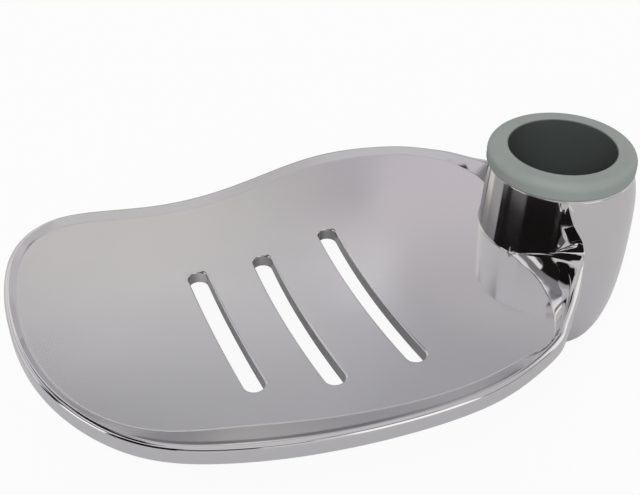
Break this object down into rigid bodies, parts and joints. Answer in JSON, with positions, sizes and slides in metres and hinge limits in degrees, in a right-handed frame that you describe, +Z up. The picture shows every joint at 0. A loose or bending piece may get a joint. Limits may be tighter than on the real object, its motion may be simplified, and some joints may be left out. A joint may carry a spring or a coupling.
{
  "type": "shower rail soap dish",
  "caption": "Chromed tray with a raised rim and drain slots, on a collar with a grip bush that slides onto a round shower riser rail and swivels about it.",
  "frame": {"origin": "on the rail's axis, in the plane of the grip bush's top face", "axes": "+Z up along the rail; the dish reaches away from the rail towards -X; +Y is towards the dish's back, the side with the longer rounded shoulder"},
  "size_m": [0.1468, 0.0963, 0.0484],
  "materials": {
    "bright_chrome": "bright chrome plating on a smooth plastic moulding",
    "grey_bush_plastic": "satin grey-green, slightly soft plastic"
  },
  "bodies": {
    "bush": {"rail_bush": "grey_bush_plastic"},
    "dish": {"dish_body": "bright_chrome"}
  },
  "joints": [
    {"name": "dish_swivel", "type": "hinge", "parent": "bush", "child": "dish", "pos_m": [0, 0, 0], "axis": [0, 0, 1], "continuous": true}
  ]
}
